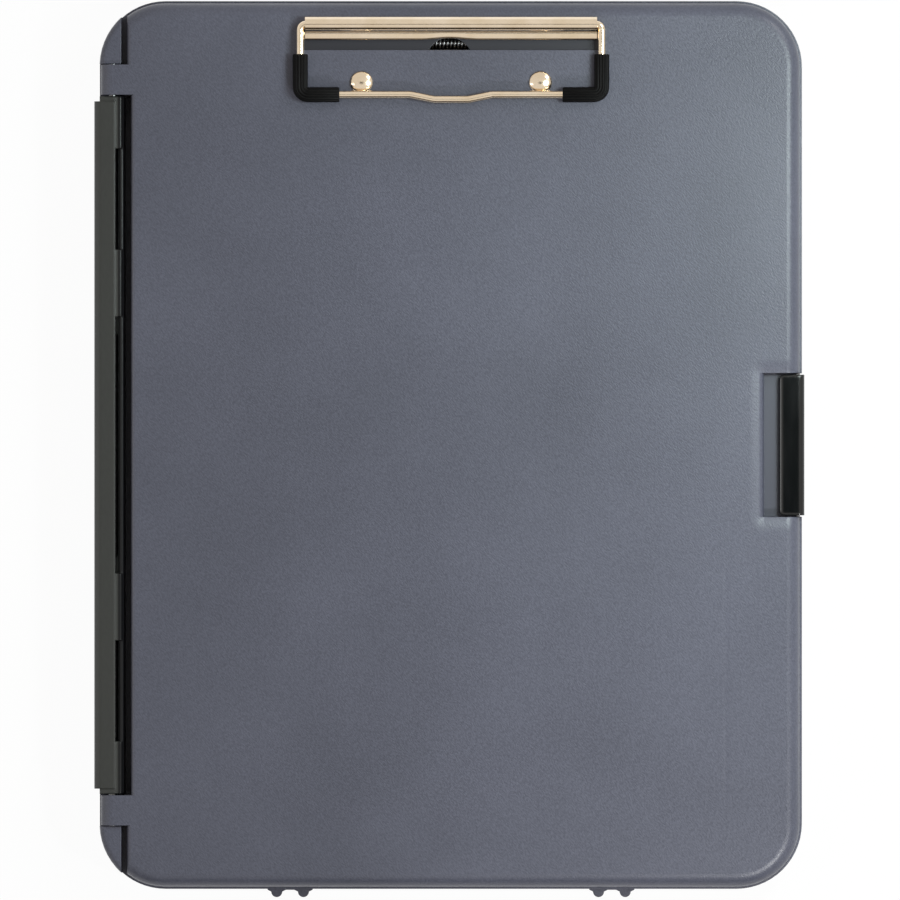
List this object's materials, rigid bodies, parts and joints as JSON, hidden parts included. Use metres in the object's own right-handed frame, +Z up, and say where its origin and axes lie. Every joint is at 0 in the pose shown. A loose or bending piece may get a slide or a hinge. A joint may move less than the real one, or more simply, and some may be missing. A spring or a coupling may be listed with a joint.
{
  "type": "storage clipboard box",
  "caption": "Shallow hinged storage box with a flat grained lid, a sprung wire paper clip riveted on the lid, a full-length hinge cover and a fold-out side latch.",
  "frame": {"origin": "centre of the tray's outline on its flat underside", "axes": "+X right, away from the hinge; +Y towards the clip; +Z up, out of the lid's writing face"},
  "size_m": [0.2707, 0.3423, 0.0339],
  "materials": {
    "charcoal_plastic": "moulded polypropylene with a fine grain, satin",
    "black_plastic": "moulded black polypropylene, semi-gloss",
    "nickel_steel": "nickel plated steel, bright",
    "plain_steel": "drawn steel wire",
    "black_vinyl": "ribbed black vinyl sleeve"
  },
  "bodies": {
    "box": {"base_tray": "charcoal_plastic", "hinge_cover": "black_plastic", "hinge_rod": "plain_steel", "latch_pin": "plain_steel"},
    "lid": {"lid": "charcoal_plastic", "clip_base": "nickel_steel", "rivet_left": "nickel_steel", "rivet_right": "nickel_steel", "spring_pin": "plain_steel", "clip_spring": "plain_steel"},
    "latch": {"latch": "black_plastic"},
    "bail": {"clip_bail": "nickel_steel", "sleeve_left": "black_vinyl", "sleeve_right": "black_vinyl"}
  },
  "joints": [
    {"name": "lid_hinge", "type": "hinge", "parent": "box", "child": "lid", "pos_m": [-0.129, 0, 0.0235], "axis": [0, -1, 0], "range_deg": [0, 180]},
    {"name": "latch_pivot", "type": "hinge", "parent": "box", "child": "latch", "pos_m": [0.1322, 0, 0.0065], "axis": [0, 1, 0], "range_deg": [0, 95]},
    {"name": "bail_pivot", "type": "hinge", "parent": "lid", "child": "bail", "pos_m": [0, 0.16015, 0.031], "axis": [-1, 0, 0], "range_deg": [0, 90], "stiffness_Nm_per_rad": 0.3, "springref_deg": -28.65}
  ]
}
